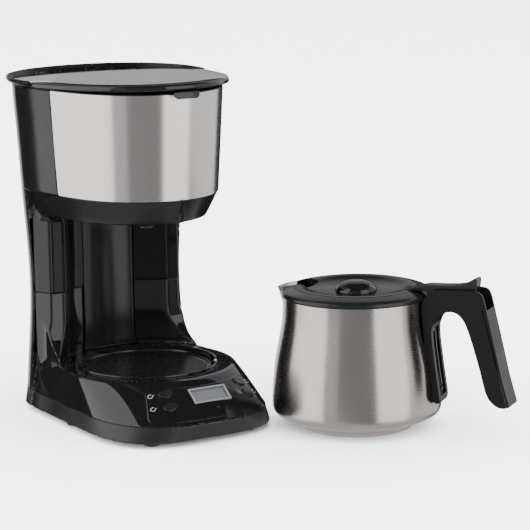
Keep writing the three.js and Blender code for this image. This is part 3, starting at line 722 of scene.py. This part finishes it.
def rounded_inside(u, v, half_u, half_v, r):
    """Depth inside a rounded rectangle."""
    qu, qv = np.abs(u) - half_u + r, np.abs(v) - half_v + r
    return r - np.hypot(np.maximum(qu, 0), np.maximum(qv, 0)) - np.minimum(np.maximum(qu, qv), 0)


def build_panel():
    """A glossy plate a little proud of the base, following its curve, open round keys and display."""
    nx, nz = ((321, 97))
    x, z = (a.ravel() for a in np.meshgrid(np.linspace(-64, 77, nx), np.linspace(*PANEL_Z, nz),
                                           indexing="ij"))
    depth = panel_depth(x, z)
    height = -.9 + 1.5 * ease(depth / 1.2)
    near, far = np.full(x.size, -140.0), np.full(x.size, -30.0)
    for _ in range(24):
        y = (near + far) / 2
        outside = base_field(x, y, z) > height
        near, far = np.where(outside, y, near), np.where(outside, far, y)
    points = np.column_stack([x, (near + far) / 2, z])
    faces = grid_faces(nx, nz)
    centre = points[faces].mean(1)
    keep = depth[faces].min(1) > 0.02
    for x0, y0, z0, lean in BUTTONS.values():
        local = (centre - [x0, y0, z0]) @ slope_axes(lean).T
        keep &= (local[:, 0] / 7.6) ** 2 + (local[:, 1] / 5.6) ** 2 > 1
    local = (centre - DISPLAY_AT) @ slope_axes().T
    keep &= (np.abs(local[:, 0]) > 19.4) | (np.abs(local[:, 1]) > 8.4)
    piece = mesh_piece("panel_plate", points, faces[keep], "machine", GLOSS, "gloss_black",
                       ("control_panel",), sharp=60)
    thicken(piece, 1.2)


def oval_button(n=48):
    t = 2 * np.pi * np.arange(n) / n
    rows = []
    for scale, z in ((1, -3), (1, .6), (.985, 1.05), (.94, 1.35), (.86, 1.55), (.6, 1.75), (.3, 1.85)):
        rows.append(np.stack([7 * scale * np.cos(t), 5 * scale * np.sin(t), np.full(n, z)], -1))
    points = np.vstack(rows + [[[0, 0, 1.88]]])
    fan = [(6 * n + i, 6 * n + (i + 1) % n, 7 * n) for i in range(n)]
    return points, grid_faces(7, n, wrap=True).tolist() + fan


def build_buttons():
    for key, (x, y, z, lean) in BUTTONS.items():
        points, faces = oval_button()
        mesh_piece(f"key_{key}", on_slope(points, (x, y, z), lean), faces, f"button_{key}", BUTTON,
                   "gloss_black", (f"button_{key}",))


def frame_box(half_u, half_v, inner_u, inner_v, low, high):
    """A rectangular frame: outer wall, top and inner wall."""
    rows = []
    for hu, hv, z in ((half_u, half_v, low), (half_u, half_v, high - .3),
                      (half_u - .3, half_v - .3, high), (inner_u + .3, inner_v + .3, high),
                      (inner_u, inner_v, high - .3), (inner_u, inner_v, low)):
        rows.append([(-hu, -hv, z), (hu, -hv, z), (hu, hv, z), (-hu, hv, z)])
    return np.array(rows).reshape(-1, 3), grid_faces(6, 4, wrap=True)


def build_display():
    spot = DISPLAY_AT
    points, faces = frame_box(20.2, 9.2, 18.2, 7.4, -1.6, 1.5)
    mesh_piece("display_surround", on_slope(points, spot), faces, "machine", SILVER, "grey_plastic",
               ("display_bezel",))
    u, v = np.meshgrid(np.linspace(-18.2, 18.2, 24), np.linspace(-7.4, 7.4, 12), indexing="ij")
    lcd = np.column_stack([u.ravel(), v.ravel(), np.full(u.size, -.7)])
    screen = mesh_piece("display_screen", on_slope(lcd, spot), grid_faces(24, 12), "machine", LCD,
                        "grey_plastic", ("display_module", "display_lens"))
    thicken(screen, 1)


def arc_mark(radius, start, end, width, n=28):
    t = np.radians(np.linspace(start, end, n))
    inner = np.stack([(radius - width / 2) * np.cos(t), (radius - width / 2) * np.sin(t), 0 * t], -1)
    outer = np.stack([(radius + width / 2) * np.cos(t), (radius + width / 2) * np.sin(t), 0 * t], -1)
    return np.vstack([inner, outer]), grid_faces(2, n)


def build_marks():
    """Small printed rings and dashes beside the buttons; they spell nothing."""
    spots = {"a": (-48, -89.9, 44, -.25), "b": (-51.8, -102, 34.5, -.25),
             "c": (63.2, -81.5, 41.7, .42), "d": (64.6, -92.5, 33.8, .45)}
    for key, (x, y, z, lean) in spots.items():
        points, faces = arc_mark(2.2, 40, 345, .45)
        dash = np.array([(2.3, -.2, 0), (4.2, -.2, 0), (4.2, .25, 0), (2.3, .25, 0)])
        all_points = np.vstack([points, dash])
        all_faces = faces.tolist() + [tuple(range(len(points), len(points) + 4))]
        world = on_slope(all_points, (x, y, z), lean)
        s = drop_on(world, base_field, slope_axes(lean)[2])
        world = world + (s + .72)[:, None] * slope_axes(lean)[2]
        thicken(mesh_piece(f"mark_{key}", world, all_faces, "machine", MARK, "grey_plastic"), .15)


def build_indicator():
    dome = smooth_curve([(1.5, -1), (1.5, .5), (1.25, .85), (.7, 1.05), (.01, 1.1)], 4)
    points, faces = turned(dome, 32)
    mesh_piece("indicator_lens", on_slope(points, LED_AT), faces, "machine", LIGHT_DOT,
               "clear_plastic", ("led_lens",))


# ------------------------------------------------------------------ carafe
def carafe_piece(name, points, faces, body, material, slot, replaces=(), sharp=35):
    return mesh_piece(name, at_carafe(points), faces, body, material, slot, replaces, sharp)


def carafe_radius(z):
    h = np.array([12, 18, 26, 34, 48, 63, 85, 105, 118, 128.5, 132])
    r = np.array([79.6, 81.9, 82.4, 82.4, 81.3, 79.5, 75.4, 72, 71.3, 71.5, 71.6])
    return np.interp(z, h, r)


def build_carafe_body():
    wall = smooth_curve([(50.8, 2.4), (52, .2), (54.5, 0), (55.6, 1.6), (57, 4.2), (62, 6.2), (70, 9.3),
                         (76.5, 12.3), (80.4, 15.2), (82.2, 19.8), (82.5, 27), (82.1, 36), (81.1, 48),
                         (79.5, 63), (77.4, 75), (75.3, 86), (73.4, 96), (72.1, 105), (71.5, 113),
                         (71.3, 121), (71.5, 130)], 6)
    inside = [(70.3, 130), (70.2, 112), (74.2, 86), (78.4, 63), (80.8, 36), (79.6, 21), (75, 15),
              (68, 11.4), (58, 8), (.01, 6)]
    profile = np.vstack([[(.01, 2.4)], wall, inside])
    points, faces = turned(profile, 256)
    carafe_piece("vessel", points, faces, "carafe", CARAFE_STEEL, "brushed_steel", ("carafe_body",))
    build_spout()


def build_spout():
    """A folded steel lip, welded on the side away from the handle."""
    u = np.linspace(-1, 1, 41)
    rows = []
    for k in np.linspace(0, 1, 26):
        z_mid = 106 + 26.5 * k
        reach = 71.9 + 7.8 * k ** 1.4
        half = 6 + 14 * k ** .8
        bend = np.abs(u) ** 2.0
        edge = carafe_radius(z_mid) - .3
        y = u * half
        along = reach + (np.sqrt(np.maximum(edge ** 2 - y ** 2, 0)) - reach) * bend
        z = z_mid + 1.2 * k ** 3 * bend
        rows.append(np.stack([-along, y, z], -1))
    piece = carafe_piece("pouring_lip", np.array(rows).reshape(-1, 3), grid_faces(26, 41), "carafe",
                         CARAFE_STEEL, "brushed_steel")
    thicken(piece, 1)


def build_collar():
    """The black ring round the neck, open at the lip."""
    open_half = math.radians(15)
    t = np.linspace(-math.pi + open_half, math.pi - open_half, 220)
    profile = smooth_curve([(60.2, 129), (60.2, 136.2), (60.9, 136.9), (64, 136.2), (68, 135.1),
                            (70.8, 134), (72.5, 132.6), (73.1, 130.8), (73, 129.2), (72.2, 128.3),
                            (70.6, 128.2)], 5)
    rows = [np.stack([r * np.cos(t), r * np.sin(t), np.full_like(t, z)], -1) for r, z in profile]
    carafe_piece("neck_collar", np.array(rows).reshape(-1, 3), grid_faces(len(profile), len(t)),
                 "carafe", RING_SATIN, "satin_black", ("carafe_collar",))


HANDLE = [(80, 139), (92, 140.6), (112, 141.6), (125.4, 141.6), (130.4, 139.4), (133, 134.5),
          (135.2, 126), (140.2, 105.5), (145.7, 82.5), (152, 56), (158.2, 34.5), (157, 31.6), (153, 30.6),
          (147, 31.4), (139.8, 36.8), (134.8, 46), (130, 64), (125, 81), (118.8, 100), (113.6, 112),
          (108, 118), (101, 120.3), (92.4, 118.2), (85.4, 112.2), (81.9, 104), (81.6, 94), (83, 81.5),
          (85, 66), (87, 52), (89.3, 36), (89, 31), (86.6, 28.8), (83.6, 29), (81, 35), (79.4, 48),
          (77.4, 62), (75, 80), (73.4, 96.4), (72.2, 112), (71.6, 127)]


def build_handle():
    """One bent strap: open in the crook for the lid's arm and lever, channelled down the leg."""
    points, faces = slab(smooth_curve(HANDLE, 5, closed=True), 13.5)
    tongue = np.clip((37 - points[:, 2]) / 9, 0, 1) ** 2 * (points[:, 0] < 95)
    points[:, 1] *= 1 - .4 * tongue
    piece = carafe_piece("handle_grip", points, faces, "carafe", GRIP, "satin_black",
                         ("carafe_handle",), sharp=50)
    cut_box(piece, [[96, 125], [109, 124.5], [117, 117], [122, 110], [130.4, 110], [130.4, 124],
                    [150, 124], [150, 160], [96, 160]], 10.6)
    cut_box(piece, [[60, 130.6], [97, 130.6], [97, 160], [60, 160]], 8.6)
    cut_box(piece, [[86.9, 37], [84.6, 54], [80.8, 82], [79.6, 103], [100, 103], [100, 37]], 8)
    cut_box(piece, [[131.6, 124], [132.4, 124], [157.2, 30], [160, 20], [156.2, 20], [154.4, 36]], 20)
    bevel(piece, 1.6, 4, 50)
    build_handle_back()
    build_strap_rib()


def build_handle_back():
    """The paler cover that closes the back of the grip."""
    back = [(132.3, 124), (135.6, 124), (140.2, 105.5), (145.7, 82.5), (152, 56), (158.4, 34.5),
            (157.2, 31.4), (155.4, 31.4), (150.4, 50), (144.4, 78), (137, 106)]
    points, faces = slab(back, 13.4)
    piece = carafe_piece("grip_cover", points, faces, "carafe", COVER, "satin_black", ("handle_cover",),
                         sharp=50)
    bevel(piece, .8, 3, 30)


def build_strap_rib():
    rib = [(86.4, 46), (84.2, 60), (80.9, 84), (79.7, 98), (81, 98), (82.2, 84), (85.5, 60), (87.7, 46)]
    points, faces = slab(rib, 1.3)
    bevel(carafe_piece("strap_rib", points, faces, "carafe", RING_SATIN, "satin_black", sharp=50), .4)
    head = smooth_curve([(2.9, 0), (3, 1), (2.6, 1.6), (1.4, 2), (.01, 2.1)], 4)
    points, faces = turned(head, 40)
    points = np.column_stack([points[:, 2] + 86.1, points[:, 1], 42 - points[:, 0]])
    carafe_piece("strap_screw", points, faces, "carafe", RING_SATIN, "steel", ("handle_screw",))


def cut_box(piece, loop, half):
    """Cuts a slab-shaped room out of a carafe piece."""
    points, faces = slab(loop, half)
    tool = carafe_piece(f"tool_{len(bpy.data.objects)}", points, faces, "carafe", SATIN, "satin_black")
    mod = piece.modifiers.new("slot", "BOOLEAN")
    mod.operation = "DIFFERENCE"
    mod.object = tool
    mod.solver = "EXACT"
    apply_modifiers(piece)
    bpy.data.objects.remove(tool)


def apply_modifiers(piece):
    graph = bpy.context.evaluated_depsgraph_get()
    mesh = bpy.data.meshes.new_from_object(piece.evaluated_get(graph))
    piece.modifiers.clear()
    piece.data = mesh
    mesh.set_sharp_from_angle(angle=math.radians(50))


def build_carafe_lid():
    """A dished lid with a raised rim, open in front of the lip, and a round knob in the dish."""
    dish = smooth_curve([(0, 131.6), (20, 131.6), (30, 131.8), (38, 132.5), (45, 134), (49, 135.8),
                         (51.6, 137), (54.4, 137.5), (58.6, 137.4), (59.6, 136.8), (59.8, 135.6),
                         (59.6, 133.4), (54, 131.6), (46, 130.4), (30, 129.8), (0, 129.6)], 5)
    piece = carafe_piece("lid_dish", *turned(dish, 240), "carafe_lid", DISH, "satin_black",
                         ("carafe_lid",))
    cut_box(piece, [[-70, 120], [-45, 120], [-45, 150], [-70, 150]], 16)
    dome = smooth_curve([(20.6, 131.2), (20.5, 132.6), (19.8, 135), (18.4, 137.2), (16.2, 139.2),
                         (13.2, 140.9), (10, 142), (6, 142.8), (.01, 143.1)], 6)
    points, faces = turned(dome, 96)
    carafe_piece("lid_knob", points, faces, "carafe_lid", GLOSS, "gloss_black", ("lid_dome",))
    build_lid_arm()


def build_lid_arm():
    side = [(46, 132.8), (54, 134), (60, 137.2), (73.4, 137), (75.4, 134.4), (86, 134), (97, 133.6),
            (102, 132.4), (108, 130.8), (114, 131), (116.4, 133.4), (122.4, 133.4), (123.6, 142),
            (124.6, 149.8), (123.8, 152.2), (121.6, 152.4), (116, 149.4), (109, 146), (92, 144.4),
            (74, 143.6), (66, 141.6), (58, 139.4), (51, 137)]
    points, faces = slab(smooth_curve(side, 3, closed=True), 7.2)
    arm = carafe_piece("lid_arm", points, faces, "carafe_lid", RING_SATIN, "satin_black", sharp=50)
    bevel(arm, 1.0, 3, 50)


# ------------------------------------------------------------------ CAD nodes that stay
def dress_nodes():
    """Procedural finishes for the CAD nodes that are still shown."""
    looks = {
        "satin_black": SATIN, "gloss_black": GLOSS, "grey_plastic": SILVER, "rubber": RUBBER,
        "clear_plastic": LENS,
        "steel": PLAIN_STEEL,
        "aluminium": plain("cast_aluminium", (.55, .55, .56), .45, 1.0),
        "silicone": plain("pale_silicone", (.6, .6, .57), .5),
        "circuit_board": plain("board_green", (.02, .1, .04), .5),
        "black_enamel": PLATE, "brushed_steel": STEEL,
    }
    for sub in frame["record"]["subparts"]:
        node = frame["nodes"][sub["node"]]
        for slot in node.material_slots:
            slot.material = looks[sub["material_slot"]]


# ------------------------------------------------------------------ stage
def add_camera():
    data = bpy.data.cameras.new("view")
    data.sensor_width = 36
    data.lens = 156.12
    data.clip_end = 50
    camera = bpy.data.objects.new("view", data)
    bpy.context.scene.collection.objects.link(camera)
    azimuth, tilt, pan, roll = (math.radians(v) for v in (-28.504, 10.8977, -3.0125, -.7912))
    spot = Vector((2.2236 * math.sin(azimuth), -2.2236 * math.cos(azimuth), .5780))
    heading = Vector((-math.sin(azimuth + pan), math.cos(azimuth + pan), 0))
    ahead = heading * math.cos(tilt) - Vector((0, 0, math.sin(tilt)))
    right = ahead.cross(Vector((0, 0, 1))).normalized()
    up = right.cross(ahead)
    across = right * math.cos(roll) + up * math.sin(roll)
    upward = up * math.cos(roll) - right * math.sin(roll)
    turn = Matrix((across, upward, -ahead)).transposed().to_4x4()
    camera.matrix_world = Matrix.Translation(spot + Vector(OFFSET) / 1000) @ turn
    bpy.context.scene.camera = camera


def add_floor():
    mesh = bpy.data.meshes.new("floor")
    mesh.from_pydata([(-20, -20, 0), (20, -20, 0), (20, 20, 0), (-20, 20, 0)], [], [(0, 1, 2, 3)])
    mesh.materials.append(new_material("pale_floor", (.9, .9, .9), .9))
    floor = bpy.data.objects.new("floor", mesh)
    bpy.context.scene.collection.objects.link(floor)
    floor.visible_glossy = False


def area_light(name, bearing, distance, height, size, radiance, colour=(1, 1, 1)):
    """A soft box standing at a bearing from the camera's side of the set, in degrees to its right."""
    turn = math.radians(bearing)
    ahead, right = Vector((.477, .879, 0)), Vector((.879, -.477, 0))
    spot = (right * math.sin(turn) - ahead * math.cos(turn)) * distance
    spot.z = height
    data = bpy.data.lights.new(name, "AREA")
    data.shape = "RECTANGLE"
    data.size, data.size_y = size
    data.energy = radiance * math.pi * size[0] * size[1]
    data.color = colour
    lamp = bpy.data.objects.new(name, data)
    lamp.location = spot
    lamp.rotation_euler = (Vector((0, 0, height)) - spot).to_track_quat("-Z", "Y").to_euler()
    lamp.visible_camera = False
    bpy.context.scene.collection.objects.link(lamp)
    return lamp


def add_world():
    """White all round for the camera and for diffuse light, dim between the soft boxes for gloss."""
    world = bpy.data.worlds.new("studio")
    bpy.context.scene.world = world
    world.use_nodes = True
    tree = world.node_tree
    dim = tree.nodes["Background"]
    dim.inputs["Color"].default_value = (.035, .035, .037, 1)
    white = tree.nodes.new("ShaderNodeBackground")
    white.inputs["Color"].default_value = (1, 1, 1, 1)
    white.inputs["Strength"].default_value = 6.0
    path = tree.nodes.new("ShaderNodeLightPath")
    either = tree.nodes.new("ShaderNodeMath")
    either.operation = "MAXIMUM"
    mix = tree.nodes.new("ShaderNodeMixShader")
    tree.links.new(path.outputs["Is Camera Ray"], either.inputs[0])
    tree.links.new(path.outputs["Is Diffuse Ray"], either.inputs[1])
    tree.links.new(either.outputs[0], mix.inputs["Fac"])
    tree.links.new(dim.outputs[0], mix.inputs[1])
    tree.links.new(white.outputs[0], mix.inputs[2])
    tree.links.new(mix.outputs[0], tree.nodes["World Output"].inputs["Surface"])


def add_lights():
    area_light("left_box", -79, 2.3, 1.5, (2.76, 5.2), 2.3, (1, .985, .97))
    area_light("left_back", -160, 2.3, -.3, (1.1, 1.5), 1.3)
    area_light("front_strip", -37, 2.5, .6, (.7, 3.4), .45, (.97, .95, 1))
    area_light("front_box", -9, 2.6, .6, (3.9, 3.4), .3)
    area_light("right_box", 46, 2.3, .6, (1.84, 3.4), 2.2, (1, .99, .98))
    area_light("right_wing", 103, 2.4, .6, (3.5, 3.4), 1.0)
    back = area_light("back_box", 180, 1.1, 1.0, (3.2, 1.3), .68, (.93, .94, 1))
    back.visible_diffuse = False
    under = area_light("under_box", 0, .01, -.25, (1.1, 1.1), .7)
    under.rotation_euler = (math.pi, 0, 0)


# ------------------------------------------------------------------ making it all
add_camera()
add_floor()
add_world()
add_lights()
dress_nodes()
build_housing()
build_steel_band()
build_brew_lid()
build_rim()
build_plate()
build_outlet()
build_valve_spring()
build_feet()
build_panel()
build_buttons()
build_display()
build_marks()
build_indicator()
build_carafe_body()
build_collar()
build_handle()
build_carafe_lid()
